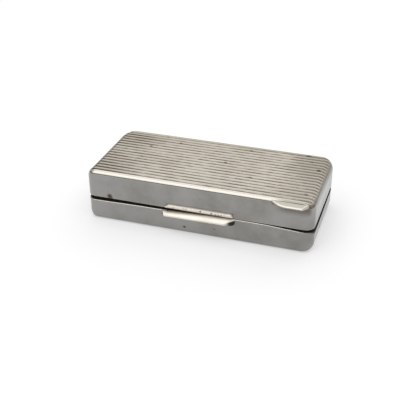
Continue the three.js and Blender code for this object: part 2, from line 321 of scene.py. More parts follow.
def field_share(y):
    """1 inside the reeded field and 0 on the plain borders beside it."""
    edge = (GROOVE_COUNT // 2) * REED_PITCH + FIELD_MARGIN
    return 1 - smoothstep(edge, edge + FIELD_BORDER, np.abs(y))


def rim_height(points, up):
    """A shell's rim, with its bevel and the barrel's channel along the back."""
    out = points[:, 1] - HINGE_Y
    height = np.maximum((LID_RIM - BASE_RIM) / 2, out * BEVEL_SLOPE)
    in_channel = (np.abs(points[:, 0]) < CHANNEL_HALF) & (np.abs(out) < CHANNEL_RADIUS)
    arch = np.sqrt(np.maximum(CHANNEL_RADIUS ** 2 - out ** 2, 0))
    return HINGE_Z + up * np.where(in_channel, np.maximum(height, arch), height)


def front_bend(x):
    """Rise of the base's bent front rim along its length."""
    return BEND_RISE * smoothstep(*BEND_FROM, x) * (1 - smoothstep(*BEND_TO, x))


def chamfer_share(x):
    """Where along the front the base's rim is worn to a chamfer, from 0 to 1."""
    return smoothstep(*CHAMFER_FROM, x) * (1 - smoothstep(*CHAMFER_TO, x))


def wear_rim(points):
    """Bends and chamfers the base's rim beside the thumbpiece, and lets it fall at the front corners."""
    x, y, z = points.T
    front = y < 0
    from_face = np.clip(1 - (y - FRONT) / CHAMFER_WIDTH, 0, 1) * front
    on_rim = smoothstep(BASE_RIM - RIM_EDGE, BASE_RIM, z)
    near_rim = smoothstep(BASE_RIM - BEND_DEPTH, BASE_RIM, z)
    right_end = smoothstep(HALF_LENGTH - END_TURN, HALF_LENGTH, x)
    fall = END_FALL * right_end + LEFT_FALL * (1 - smoothstep(*LEFT_FADE, x))
    fall *= 1 - smoothstep(*END_FADE, y)
    points[:, 2] += near_rim * (front_bend(x) * front - fall)
    points[:, 2] -= CHAMFER_DROP * chamfer_share(x) * from_face * on_rim


def corner_reach(longer, shorter, square, radius):
    """Distance from the inner corner of a square to the rounded corner drawn in it.

    The directions are unit vectors, given by the longer and the shorter of their two parts.
    """
    shift = square - radius
    along = shift * (longer + shorter)
    on_arc = along + np.sqrt(np.maximum(along ** 2 - 2 * shift ** 2 + radius ** 2, 0))
    on_side = square / longer
    return np.where(on_side * shorter < shift, on_side, on_arc)


def reshape_corners(points):
    """Gives three of the case's corners the plan radius they are worn to, and presses in its left end."""
    for facing, radius in WORN_CORNERS:
        square = max(PLAN_RADIUS, radius)
        centre = np.multiply(facing, (HALF_LENGTH - square, HALF_WIDTH - square))
        away = (points[:, :2] - centre) * facing
        chosen = (away > 0).all(axis=1)
        away = away[chosen]
        distance = np.linalg.norm(away, axis=1)
        longer = away.max(axis=1) / distance
        shorter = away.min(axis=1) / distance
        plain = corner_reach(longer, shorter, square, PLAN_RADIUS)
        change = corner_reach(longer, shorter, square, radius) / plain - 1
        scale = 1 + change * smoothstep(0, 1, distance / plain)
        points[chosen, :2] = centre + away * scale[:, None] * facing
    near_left = 1 - smoothstep(-HALF_LENGTH, LEFT_REACH - HALF_LENGTH, points[:, 0])
    points[:, 0] += LEFT_INSET * near_left


def rim_insets():
    """Distances across the rim from the outer face to the inner, finer at its two rounded edges."""
    near = RIM_EDGE * (1 - np.cos(np.linspace(0, math.pi / 2, RIM_EDGE_STEPS + 1)[1:]))
    middle = np.linspace(RIM_EDGE, WALL - RIM_EDGE, RIM_FLAT_STEPS + 1)[1:-1]
    return np.concatenate([near, middle, (WALL - near)[::-1]])


def rim_rounding(inset):
    """How far the rim is rounded back at an inset from its outer face."""
    reach = max(RIM_EDGE - inset, inset - (WALL - RIM_EDGE), 0.0)
    return RIM_EDGE - math.sqrt(max(RIM_EDGE ** 2 - reach ** 2, 0))


def edge_ring(offset, turn, up, end_steps, columns, share=None):
    """One ring on the rounded edge at a turn, with its outward normals.

    With a share, the ring lies that part of the way from there to the rim.
    """
    points, normals, end_share = plan_outline(offset, end_steps, columns)
    worn_back = (normals[:, 1] > 0) & (up > 0)
    long_edge = np.maximum(np.where(worn_back, BACK_EDGE, LONG_EDGE) + offset, LEAST_INNER_RADIUS)
    end_edge = max(END_EDGE + offset, LEAST_INNER_RADIUS)
    blend = np.where(worn_back & (normals[:, 0] < 0), np.sqrt(end_share), end_share)
    radius = long_edge + (end_edge - long_edge) * blend
    flat = points - normals * (radius * (1 - math.cos(turn)))[:, None]
    crown = TOP if up > 0 else 0.0
    z = crown + up * offset - up * radius * (1 - math.sin(turn))
    if share is not None:
        z = z + (rim_height(flat, up) + up * RIM_EDGE - z) * share
    lean = np.full(len(flat), up * math.sin(turn))
    return np.column_stack([flat, z]), np.column_stack([normals * math.cos(turn), lean])


def shell_rings(up, end_steps, columns, reeded):
    """A shell's rings, with the share of each finish at their points.

    They run from the crown along the outer skin, across the rim and back along the inner skin.
    """
    turns = np.linspace(0, math.pi / 2, EDGE_STEPS + 1)
    rings = []
    shares = {key: [] for key in FINISHES}

    def add(ring, **finish):
        rings.append(ring)
        for key in FINISHES:
            shares[key].append(np.broadcast_to(finish.get(key, 0.0), len(ring)))

    for turn in turns[::-1]:
        ring, outward = edge_ring(0.0, turn, up, end_steps, columns)
        y = ring[:, 1]
        fade = smoothstep(*REED_FADE, turn) if reeded else 0.0
        cover = smoothstep(*FIELD_FADE, turn) if reeded else 0.0
        ring = ring - outward * (reed_depth(y) * fade)[:, None]
        facing_end = np.abs(outward[:, 0]) / max(math.cos(turn), LEAST_COSINE)
        edge = smoothstep(*EDGE_FADE, turn) * (1 - facing_end ** 2) if reeded else 0.0
        around = smoothstep(*STRIP_CORNER, facing_end)
        strip = around * math.exp(-((turn - STRIP_TURN) / STRIP_SPREAD) ** 2) if reeded else 0.0
        add(ring, recess=groove_share(y) * fade, field=field_share(y) * cover, edge=edge, strip=strip)
    for share in WALL_SHARES:
        ring, outward = edge_ring(0.0, 0.0, up, end_steps, columns, share)
        # Painted shade at the ends of the wall's top ring, beside the seam
        add(ring, grime=smoothstep(*END_SEAM_SHADE, np.abs(outward[:, 0])) * (share == 1.0))
    for inset in rim_insets():
        flat, _, end_share = plan_outline(-inset, end_steps, columns)
        ring = np.column_stack([flat, rim_height(flat, up) + up * rim_rounding(inset)])
        front = flat[:, 1] < 0
        # Painted shade across the rim, towards the front right corner and at the ends, less where the rim
        # is chamfered
        shade_shift = RIM_SHADE_SHIFT * chamfer_share(flat[:, 0]) * front
        corner = CORNER_SEAM_SHADE_MOST * smoothstep(*CORNER_SEAM_SHADE, flat[:, 0]) * front
        grime = np.maximum.reduce([end_share, corner, smoothstep(*RIM_SEAM_SHADE, inset - shade_shift)])
        add(ring, inside=inset > WALL / 2, edge=1.0, grime=grime)
    for share in WALL_SHARES[::-1]:
        add(edge_ring(-WALL, 0.0, up, end_steps, columns, share)[0], inside=1.0)
    for turn in turns:
        add(edge_ring(-WALL, turn, up, end_steps, columns)[0], inside=1.0)
    return np.array(rings), {key: np.array(values, float) for key, values in shares.items()}


def cap_numbers(ring, side_count, column_count, first_new):
    """Vertex numbers of a grid that fills a ring with rows from the right end to the left."""
    grid = np.zeros((side_count, column_count + 2), int)
    left_from = side_count + column_count
    grid[:, 0] = ring[:side_count]
    grid[:, -1] = ring[left_from:left_from + side_count][::-1]
    grid[0, 1:-1] = ring[left_from + side_count:][::-1]
    grid[-1, 1:-1] = ring[side_count:left_from]
    rows = side_count - 2
    grid[1:-1, 1:-1] = first_new + np.arange(rows * column_count).reshape(rows, column_count)
    return grid


def case_shell(name, up, material, samples, reeded):
    """A whole shell of the case. up is 1 for the lid and -1 for the base."""
    half_columns = HALF_LENGTH - PLAN_RADIUS
    end_steps = round(2 * (HALF_WIDTH - PLAN_RADIUS) / REED_PITCH * samples)
    columns = np.arange(COLUMN_STEP - half_columns, half_columns - COLUMN_STEP / 2, COLUMN_STEP)
    channel_ends = CHANNEL_HALF + np.array([-CHANNEL_END_STEP, CHANNEL_END_STEP])
    columns = np.sort(np.concatenate([columns, channel_ends, -channel_ends]))
    rings, shares = shell_rings(up, end_steps, columns, reeded)
    ring_count, per_ring = rings.shape[:2]
    numbers = np.arange(ring_count * per_ring).reshape(ring_count, per_ring)
    faces = skin(numbers)
    points = [rings.reshape(-1, 3)]
    covers = {key: [values.ravel()] for key, values in shares.items()}
    side_count = per_ring // 2 - len(columns)
    left_from = side_count + len(columns)
    across = (half_columns - columns[::-1]) / (2 * half_columns)
    made = ring_count * per_ring
    for ring in (0, ring_count - 1):
        grid = cap_numbers(numbers[ring], side_count, len(columns), made)
        corners = [grid[:-1, :-1], grid[1:, :-1], grid[1:, 1:], grid[:-1, 1:]]
        faces += np.stack([c.ravel() for c in corners], 1).tolist()
        right = rings[ring][1:side_count - 1]
        left = rings[ring][left_from:left_from + side_count][::-1][1:-1]
        inner = right[:, None] + (left - right)[:, None] * across[None, :, None]
        points.append(inner.reshape(-1, 3))
        for key, values in shares.items():
            covers[key].append(np.repeat(values[ring][1:side_count - 1], len(columns)))
        made += len(inner) * len(columns)
    points = np.concatenate(points)
    reshape_corners(points)
    if up < 0:
        wear_rim(points)
    attributes = {key: np.concatenate(values) for key, values in covers.items()}
    return add_piece(name, points, faces, material, attributes)


# Thumbpiece, tab and bezel

def soft_min(first, second, softness):
    """The lesser of two values, rounded off where they cross."""
    share = np.clip(0.5 + (second - first) / (2 * softness), 0, 1)
    return second + (first - second) * share - softness * share * (1 - share)


def lip_face(root, nose, reach, belly=0.0, lean=0.0):
    """Heights of a lip's face by distance from the wall: bellied to its nose, and leaning in the wall."""
    def height(distance):
        share = np.maximum(distance / reach, 0)
        run = root + (nose - root) * share + belly * 4 * share * (1 - share)
        return run + lean * np.minimum(distance, 0)
    return height


def capped(face, cap):
    """A lip's face, cut off softly at a height."""
    return lambda distance: soft_min(face(distance), cap, LIP_SOFTNESS)


def taper_share(distance, taper):
    """How far a place has come in from a lip's tapered end, from 0, rounded off to 1."""
    return float(soft_min(distance / taper, 1.0, TAPER_SOFTNESS))


def round_share(distance, radius):
    """Height of a quarter round over a distance from its end, as a share of its radius."""
    return math.sqrt(1 - max(1 - distance / radius, 0) ** 2)


def lip_stations(left, right):
    """Places along a lip, closer together near its ends."""
    turns = np.linspace(0, math.pi, LIP_STATIONS)
    return (left + right) / 2 - (right - left) / 2 * np.cos(turns)


def lip_ring(x, reach, top_at, bottom_at):
    """One section of a lip: its upper face from the wall out, the rounded nose and the underside."""
    tip = min(LIP_NOSE, reach) / 2
    shelf = np.linspace(-LIP_SEAT, reach - tip, LIP_STEPS)
    top = top_at(shelf)
    bottom = np.minimum(bottom_at(shelf), top - LEAST_LIP)
    middle = (top[-1] + bottom[-1]) / 2
    half = (top[-1] - bottom[-1]) / 2
    turns = np.linspace(math.pi / 2, -math.pi / 2, NOSE_STEPS + 1)[1:-1]
    out = np.concatenate([shelf, shelf[-1] + tip * np.cos(turns), shelf[::-1]])
    z = np.concatenate([top, middle + half * np.sin(turns), bottom[::-1]])
    return np.column_stack([np.full(len(out), x), FRONT - out, z])


def lip_underside_shade(count, amount, ends=0.0):
    """Painted shade and grime on a lip's underside, and under its nose at the tapered ends."""
    grime = np.zeros((LIP_STATIONS, count))
    grime[:, -LIP_STEPS:] = amount
    under_nose = LIP_STEPS + NOSE_UNSHADED_STEPS
    grime[:, under_nose:] = np.maximum(grime[:, under_nose:], np.reshape(ends, (-1, 1)))
    return {"grime": grime.ravel()}


def lower_lip(material):
    """The shelf on the base under the seam, which falls to its nose and is shorter there."""
    reach = FRONT - lower_low.y
    left = lower_low.x + LOWER_INSETS[0]
    right = lower_high.x - LOWER_INSETS[1]
    rings = []
    ends = []
    for x in lip_stations(left, right):
        rise = float(front_bend(x))
        nose = BASE_RIM - LOWER_FALL + LOWER_NOSE_RISE * rise
        top_at = lip_face(BASE_RIM + rise, nose, reach, LOWER_BELLY, LIP_SEAT_LEAN)
        bottom = lower_low.z + LOWER_END_ROUND * (1 - round_share(right - x, LOWER_END_ROUND))
        bottom_at = lip_face(bottom, nose - LIP_NOSE, reach)
        share = min(taper_share(x - left, LOWER_TAPERS[0]), taper_share(right - x, LOWER_TAPERS[1]))
        ends.append(1 - smoothstep(*LIP_END_FADE, share))
        rings.append(lip_ring(x, max(reach * share, LEAST_LIP), top_at, bottom_at))
    grime = lip_underside_shade(len(rings[0]), LOWER_UNDERSIDE_SHADE, ends)
    return add_piece("lower_lip", *closed_rings(rings), material, grime)


def upper_lip(material):
    """The sloping strip on the lid over the seam, which is shorter at its top."""
    reach = (FRONT - upper_low.y) * UPPER_REACH
    foot = LID_RIM + UPPER_LIFT
    top = upper_high.z - UPPER_DROP
    face = lip_face(top, foot + LIP_NOSE, reach, UPPER_BELLY)
    bottom_at = lip_face(LID_RIM, foot, reach, lean=-LIP_SEAT_LEAN)
    rings = []
    right = upper_high.x - UPPER_RIGHT_INSET
    for x in lip_stations(upper_low.x, right):
        share = min(taper_share(x - upper_low.x, UPPER_TAPER), round_share(right - x, UPPER_END_ROUND))
        cap = foot + (top - foot) * share
        rings.append(lip_ring(x, reach, capped(face, cap), bottom_at))
    grime = lip_underside_shade(len(rings[0]), UPPER_UNDERSIDE_SHADE)
    return add_piece("upper_lip", *closed_rings(rings), material, grime)


def tab_stations():
    """Places along the tab's free edge from left to right, each with the place behind it in the lid."""
    left, right, front, back = tab_low.x, tab_high.x, tab_low.y, tab_high.y
    bend = np.linspace(0, 1, TAB_CURVE_STEPS + 1)[:, None]
    start, pull, end = np.array([[left, FRONT], [left + TAB_PULL, front], [left + TAB_CURVE, front]])
    curve = (1 - bend) ** 2 * start + 2 * bend * (1 - bend) * pull + bend ** 2 * end
    straight = np.linspace(end, (right - TAB_CHAMFER, front), TAB_FRONT_STEPS + 1)[1:]
    chamfer = np.linspace(straight[-1], (right, front + TAB_SLANT), TAB_END_STEPS + 1)[1:]
    side = np.linspace(chamfer[-1], (right, back), TAB_END_STEPS + 1)[1:]
    edge = np.concatenate([curve, straight, chamfer, side])
    behind = np.column_stack([edge[:, 0], np.full(len(edge), FRONT + TAB_SEAT)])
    corner = (right - TAB_CORNER_SEAT[0], FRONT + TAB_CORNER_SEAT[1])
    last = (right - TAB_SIDE_SEAT[0], back - TAB_SIDE_SEAT[1])
    first = len(edge) - 2 * TAB_END_STEPS
    behind[first:-TAB_END_STEPS] = np.linspace(behind[first - 1], corner, TAB_END_STEPS + 1)[1:]
    behind[-TAB_END_STEPS:] = np.linspace(corner, last, TAB_END_STEPS + 1)[1:]
    return edge, behind


def lid_tab(material):
    """The tab, a wedge that leans down to its free edge, with a raised rounded rim along that edge."""
    tip = tab_high.z - TAB_THICKNESS - TAB_LEAN
    turns = np.linspace(math.pi / 2, 0, TAB_EDGE_STEPS + 1)[1:]
    rings = []
    finish = {"grime": [], "dull": [], "side": []}
    for edge, behind in zip(*tab_stations()):
        length = float(np.linalg.norm(edge - behind))
        round_edge = min(TAB_EDGE, length / 3)
        shelf = np.linspace(0, length - round_edge, LIP_STEPS)
        out = np.concatenate([shelf, shelf[-1] + round_edge * np.cos(turns)])
        rounding = round_edge * np.concatenate([np.zeros(LIP_STEPS), 1 - np.sin(turns)])
        flat = behind + (edge - behind) * (out / length)[:, None]
        forward = np.clip((FRONT - flat[:, 1]) / (FRONT - tab_low.y), 0, 1)
        dish = smoothstep(TAB_RIM, 2 * TAB_RIM, length - out)
        top = tab_high.z - TAB_LEAN * forward - TAB_DISH * dish - rounding
        bottom = tab_low.z + (tip - tab_low.z) * forward + rounding * TAB_UNDER_EDGE / TAB_EDGE
        upper = np.column_stack([flat, top])
        lower = np.column_stack([flat, bottom])
        rings.append(np.concatenate([upper, lower[::-1]]))
        # Painted shade on the tab's rounded front side and underside, weaker on its slanted end
        on_end = edge[0] > tab_high.x - TAB_CHAMFER
        shade = TAB_END_SHADE if on_end else 1.0
        side = shade * smoothstep(TAB_EDGE / 2, TAB_EDGE, rounding)
        root = TAB_ROOT_GRIME * smoothstep(*TAB_ROOT_LINE, flat[:, 1])
        # Painted shade on the tab's underside
        under = TAB_UNDERSIDE_SHADE * ((rounding == 0) | (not on_end))
        finish["grime"].append(np.concatenate([root, under[::-1]]))
        finish["dull"].append(np.concatenate([dish, np.zeros(len(out))]))
        finish["side"].append(np.concatenate([side, np.full(len(out), shade)]))
    finish = {key: np.concatenate(values) for key, values in finish.items()}
    return add_piece("lid_tab_plate", *closed_rings(rings), material, finish)


def inner_bezel(material):
    """The strip inside the base from one back corner round the front to the other, rounded on top."""
    end = math.pi / 2 - BEZEL_END_ANGLE
    back = np.linspace(0, end, CORNER_STEPS)
    front = np.linspace(-math.pi / 2, 0, CORNER_STEPS)
    angles = np.concatenate([front, back])
    back_y = HALF_WIDTH - PLAN_RADIUS
    centre_y = np.concatenate([np.full(CORNER_STEPS, -back_y), np.full(CORNER_STEPS, back_y)])
    angles = np.concatenate([math.pi - angles[::-1], angles])
    centre_y = np.concatenate([centre_y[::-1], centre_y])
    centre_x = np.repeat([PLAN_RADIUS - HALF_LENGTH, HALF_LENGTH - PLAN_RADIUS], 2 * CORNER_STEPS)
    facing = np.column_stack([np.cos(angles), np.sin(angles)])
    path = np.column_stack([centre_x, centre_y]) + PLAN_RADIUS * facing
    outer = WALL + BEZEL_GAP
    inner = outer + BEZEL_THICKNESS
    turns = np.linspace(0, math.pi / 2, BEZEL_EDGE_STEPS + 1)
    round_in = BEZEL_EDGE * (1 - np.cos(turns))
    round_z = bezel_high.z - BEZEL_EDGE * (1 - np.sin(turns))
    section = [(outer, bezel_low.z), *zip(outer + round_in, round_z)]
    section += [*zip((inner - round_in)[::-1], round_z[::-1]), (inner, bezel_low.z)]
    rings = [[(*(p - n * depth), z) for depth, z in section] for p, n in zip(path, facing)]
    # Painted shade on the bezel's outer face, which keeps the seam dark
    grime = np.tile([float(depth == outer) for depth, _ in section], len(rings))
    points, faces = closed_rings(rings)
    reshape_corners(points)
    return add_piece("bezel_strip", points, faces, material, {"grime": grime})


# Hinge

def knuckle(node, material):
    """A tube knuckle with chamfered ends, where its solid lies."""
    low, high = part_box(node)
    bore = PIN_RADIUS + PIN_CLEARANCE
    rim = KNUCKLE_RADIUS - KNUCKLE_CHAMFER
    profile = [
        (low.x, bore),
        (low.x, rim),
        (low.x + KNUCKLE_CHAMFER, KNUCKLE_RADIUS),
        (high.x - KNUCKLE_CHAMFER, KNUCKLE_RADIUS),
        (high.x, rim),
        (high.x, bore),
    ]
    return add_piece(node.replace("hinge_knuckle", "knuckle_tube"), *turned(profile), material)


def hinge_pin(material):
    """The pin, with slightly rounded ends."""
    profile = [(pin_low.x + along * PIN_RADIUS, share * PIN_RADIUS) for along, share in PIN_END]
    profile += [(pin_high.x - along * PIN_RADIUS, share * PIN_RADIUS) for along, share in PIN_END[::-1]]
    return add_piece("pin_rod", *closed_rings(turned_rings(profile)), material)


# Materials

# Silvers: colour, roughness and the strength of their clouds
Metal = namedtuple("Metal", "colour roughness clouds")
WALL_METAL = Metal((0.315, 0.309, 0.298, 1), 0.12, 0.55)
LIP_METAL = Metal((0.86, 0.805, 0.73, 1), 0.42, 0.1)
TAB_METAL = Metal((0.74, 0.695, 0.62, 1), 0.3, 0.1)
INNER_METAL = Metal((0.36, 0.33, 0.28, 1), 0.38, 0.5)
HINGE_METAL = Metal((0.66, 0.63, 0.57, 1), 0.24, 0.3)

# Colours
WHITE = (1, 1, 1, 1)
TARNISH = (0.30, 0.255, 0.18, 1)
# Tarnish towards the lid's ends, also the colour of a painted dark reflection along its back edge
END_TARNISH_AND_DARK_REFLECTION = (0.215, 0.185, 0.135, 1)
# Dark of the grooves' tarnish, also the colour of the painted shade in hollows
GROOVE_DARK = (0.075, 0.061, 0.049, 1)
FIELD_SILVER = (0.52, 0.48, 0.418, 1)
# Brighter silver on the lid's long edges and the rims: polish from wear, partly a painted highlight
EDGE_POLISH_AND_HIGHLIGHT = (0.64, 0.605, 0.545, 1)
SPOT_DARK = (0.065, 0.04, 0.025, 1)
MARK_DARK = (0.035, 0.030, 0.025, 1)
# Near-black of grime and dark joints, and of painted shade in the seam and under the lips and tab
GRIME_AND_SHADE = (0.012, 0.010, 0.008, 1)
STRIP_DARK = (0.12, 0.108, 0.082, 1)
# Painted shade on the right end's wall
WALL_END_SHADE = (0.05, 0.05, 0.05, 1)
WALL_SHADE = (0.17, 0.16, 0.145, 1)
TAB_DULL = (0.47, 0.445, 0.385, 1)
# Stains on the tab's top, and painted shade over the lid's edge behind the tab
TAB_STAIN_AND_SHADE = (0.36, 0.335, 0.285, 1)
# Painted shade on the tab's sides
TAB_SIDE_SHADE = (0.30, 0.285, 0.26, 1)

# Noises: a scale per metre, the detail and, where they aren't even, the stretch
EVEN = (1, 1, 1)
NOISE_ROUGHNESS = 0.6
GRAIN = (1500.0, 2.0)
DENTS = (130.0, 2.0)
SCRATCHES = (1.0, 3.0, (260, 5200, 5200))

# Patches: a noise, the levels of it where they start and end, and the strengths there
Patches = namedtuple("Patches", "scale detail low high stretch least most", defaults=(EVEN, 0.0, 1.0))
SILVER_CLOUDS = Patches(95.0, 6.0, 0.38, 0.75)
FIELD_CLOUDS = Patches(85.0, 5.0, 0.36, 0.74)
GROOVE_STREAKS = Patches(1.0, 4.0, 0.34, 0.68, (140, 700, 700))
GROOVE_DASHES = Patches(1.0, 3.0, 0.36, 0.64, (420, 1500, 1500), 0.4, 0.8)
TAB_LINE_BREAKS = Patches(1.0, 2.0, 0.35, 0.62, (500, 900, 900), 0.45, 1.0)
TAB_CLOUDS = Patches(300.0, 3.0, 0.45, 0.7, most=0.5)
LIP_STAINS = Patches(420.0, 4.0, 0.56, 0.74, most=0.45)
LIP_PITS = Patches(2300.0, 2.0, 0.66, 0.76, most=0.6)

# Ramps across the case along an axis: where they start and end and, unless 0 and 1, the strengths there
LEFT_WEAR_X = (-12 * MM, -29 * MM)
LEFT_WEAR_Y = (3 * MM, 10 * MM, 0.6, 1.0)
RIGHT_WEAR_X = (18 * MM, 29 * MM)
RIGHT_WEAR_Y = (-6 * MM, 8 * MM, 0.75, 1.6)
BACK_AGE_Y = (0.0, 12 * MM, 0.0, 0.18)
# Painted dark reflection along the lid's back edge
FAR_BACK_Y = (12.2 * MM, 12.8 * MM, 0.0, 0.75)
STRIP_Y = (-11 * MM, -8.5 * MM, 0.95, 0.55)
# Painted shade on the right end's wall, darker towards the back
RIGHT_WALL_X = (HALF_LENGTH - 0.5 * MM, HALF_LENGTH - 0.05 * MM)
RIGHT_WALL_Y = (-8 * MM, 8 * MM, 0.0, 0.5)
TAB_ROOT_X = (tab_low.x, tab_low.x + TAB_CURVE)
TAB_ROOT_Z = (tab_low.z, tab_high.z)
# Painted shade over the lid's edge behind the tab
TAB_SHADE_BEHIND_Y = (FRONT + 0.5 * MM, FRONT + 1.5 * MM, 0.9, 0.3)
TAB_LINE_Y = (FRONT + 0.3 * MM, FRONT + 0.4 * MM, 1.0, 0.0)
# Painted shadow on the wall below the tab
TAB_BELOW_Y = (FRONT + 0.1 * MM, FRONT + 0.8 * MM, 1.0, 0.0)
TAB_BELOW_Z = (tab_low.z - 2.8 * MM, tab_low.z - 0.7 * MM, 0.0, 0.62)

# Strengths of the wear and dirt, and of the painted shade in the seam and in hollows
FIELD_CLOUDING = 0.3
END_DARKENING = 0.3
STREAK_DIRT = 0.45
END_DIRT = 0.2
END_STREAK_DIRT = 0.35
GROOVE_SPREAD = (0.0, 0.5)
INSIDE_TARNISH = 0.6
GRIME_AND_SHADE_COVER = 0.96
GRIME_AND_SHADE_METAL_LOSS = 0.95
# Painted shade in hollows, standing also for tarnish
HOLLOW_SHADE_AND_TARNISH = 0.6
LIP_HOLLOW_SHADE_AND_TARNISH = 0.2
HOLLOW_REACH = 0.7 * MM
HOLLOW_SAMPLES = 8
HOLLOW_FADE = (0.3, 0.6)

# What roughens the silver, and the relief on it
CLOUD_ROUGHNESS = 0.08
GRAIN_ROUGHNESS = 0.06
INSIDE_ROUGHNESS = 0.16
GRIME_AND_SHADE_ROUGHNESS = 0.3
FIELD_ROUGHNESS = 0.14
DENT_HEIGHT = 0.05 * MM
SCRATCH_HEIGHT = 0.002 * MM
SCRATCH_STRENGTH = 0.35

# Dark marks in millimetres: x, then y on the top or z on the front, a radius and a strength
TOP_MARKS = (
    (8.2, 10.7, 0.5, 0.95), (28.2, 4.7, 0.65, 0.95), (20.9, 1.3, 0.5, 0.8), (20.9, 2.7, 0.4, 0.5),
    (3.5, 1.7, 0.5, 0.8), (12.0, -4.5, 0.6, 0.7), (-1.3, 2.9, 0.45, 0.7), (-11.8, 9.2, 0.5, 0.9),
    (-16.8, 12.1, 0.5, 0.8), (-20.9, 6.0, 0.55, 0.7), (-19.2, 5.1, 0.5, 0.7), (-27.0, -1.9, 0.5, 0.6),
    (24.0, 12.2, 0.9, 0.7), (22.6, 10.3, 0.55, 0.6), (25.5, 8.9, 0.7, 0.7), (27.6, -8.8, 0.5, 0.5),
)
LIP_MARKS = (
    (1.8, 7.6, 0.32, 0.8), (4.7, 7.45, 0.4, 0.7), (5.8, 7.2, 0.5, 0.75), (6.6, 7.15, 0.5, 0.75),
    (7.3, 7.4, 0.35, 0.6), (-5.6, 7.4, 0.3, 0.5), (-3.0, 7.6, 0.25, 0.4),
)
LID_FRONT_MARKS = ((-23.75, 7.3, 1.0, 0.9), (-23.1, 6.8, 0.45, 0.7))
BASE_FRONT_MARKS = ((-2.9, 1.75, 0.62, 0.95), (5.3, 2.55, 0.42, 0.7))
MARK_CORE = 0.3
RAGGED_SCALE = 2600.0
RAGGED_DETAIL = 2.0
RAGGED_SHIFT = 0.2 * MM

# How much the distance from a mark's centre counts along each axis
TOP_STRETCH = (0.7, 1.1, 1.0)
LIP_STRETCH = (1.0, 0.0, 1.0)
BASE_FRONT_STRETCH = (1.0, 1.0, 1.4)

# Colour sockets of a mix node
MIX_FIRST = 6
MIX_SECOND = 7
MIX_RESULT = 2


def add_node(tree, kind, inputs=None, **settings):
    """A shader node whose inputs take values or other nodes' outputs."""
    made = tree.nodes.new(kind)
    for key, value in settings.items():
        setattr(made, key, value)
    for key, value in (inputs or {}).items():
        if isinstance(value, bpy.types.NodeSocket):
            tree.links.new(value, made.inputs[key])
        else:
            made.inputs[key].default_value = value
    return made


def math_node(tree, operation, *values, clamp=False):
    """The result of an operation on values, kept from 0 to 1 if it is clamped."""
    settings = {"operation": operation, "use_clamp": clamp}
    return add_node(tree, "ShaderNodeMath", dict(enumerate(values)), **settings).outputs[0]


def vector_node(tree, operation, *values, output=0):
    """The result of an operation on vectors."""
    made = add_node(tree, "ShaderNodeVectorMath", dict(enumerate(values)), operation=operation)
    return made.outputs[output]


def product(tree, first, *others):
    """Values multiplied together."""
    for value in others:
        first = math_node(tree, "MULTIPLY", first, value)
    return first


def ramp(tree, value, low, high, least=0.0, most=1.0):
    """A smooth change from least at low to most at high."""
    inputs = {"Value": value, "From Min": low, "From Max": high, "To Min": least, "To Max": most}
    made = add_node(tree, "ShaderNodeMapRange", inputs, interpolation_type="SMOOTHSTEP")
    return made.outputs["Result"]


def mix(tree, share, first, second):
    """Two colours mixed, with the second's share."""
    inputs = {"Factor": share, MIX_FIRST: first, MIX_SECOND: second}
    return add_node(tree, "ShaderNodeMix", inputs, data_type="RGBA").outputs[MIX_RESULT]


def noise(tree, where, scale, detail, stretch=EVEN):
    """Noise with a scale per metre, drawn out along the axes where stretch is small."""
    drawn = add_node(tree, "ShaderNodeMapping", {"Vector": where, "Scale": stretch}).outputs[0]
    inputs = {"Vector": drawn, "Scale": scale, "Detail": detail, "Roughness": NOISE_ROUGHNESS}
    return add_node(tree, "ShaderNodeTexNoise", inputs).outputs["Fac"]


def patches(tree, where, look):
    """Soft-edged patches of noise."""
    level = noise(tree, where, look.scale, look.detail, look.stretch)
    return ramp(tree, level, look.low, look.high, look.least, look.most)


def attribute(tree, name):
    """A float attribute of the mesh, or 0 where it has none of that name."""
    return add_node(tree, "ShaderNodeAttribute", attribute_name=name).outputs["Fac"]


def axes(tree, where):
    """The x, y and z of a place."""
    return list(add_node(tree, "ShaderNodeSeparateXYZ", {0: where}).outputs)


def place_of(marks, on_top):
    """Centres of marks on the lid's top or on the front wall, in metres, with radius and strength."""
    for x, across, radius, strength in marks:
        centre = (x * MM, across * MM, TOP) if on_top else (x * MM, FRONT, across * MM)
        yield centre, radius * MM, strength


def add_marks(tree, where, body, marks, stretch=EVEN, dark=SPOT_DARK):
    """Small ragged dark spots on a surface."""
    inputs = {"Vector": where, "Scale": RAGGED_SCALE, "Detail": RAGGED_DETAIL}
    ragged = add_node(tree, "ShaderNodeTexNoise", inputs).outputs["Color"]
    shift = vector_node(tree, "MULTIPLY_ADD", ragged, (2 * RAGGED_SHIFT,) * 3, (-RAGGED_SHIFT,) * 3)
    moved = vector_node(tree, "ADD", where, shift)
    for centre, radius, strength in marks:
        away = vector_node(tree, "MULTIPLY", vector_node(tree, "SUBTRACT", moved, centre), stretch)
        length = vector_node(tree, "LENGTH", away, output="Value")
        share = ramp(tree, length, radius * MARK_CORE, radius, strength, 0.0)
        body = mix(tree, share, body, dark)
    return body


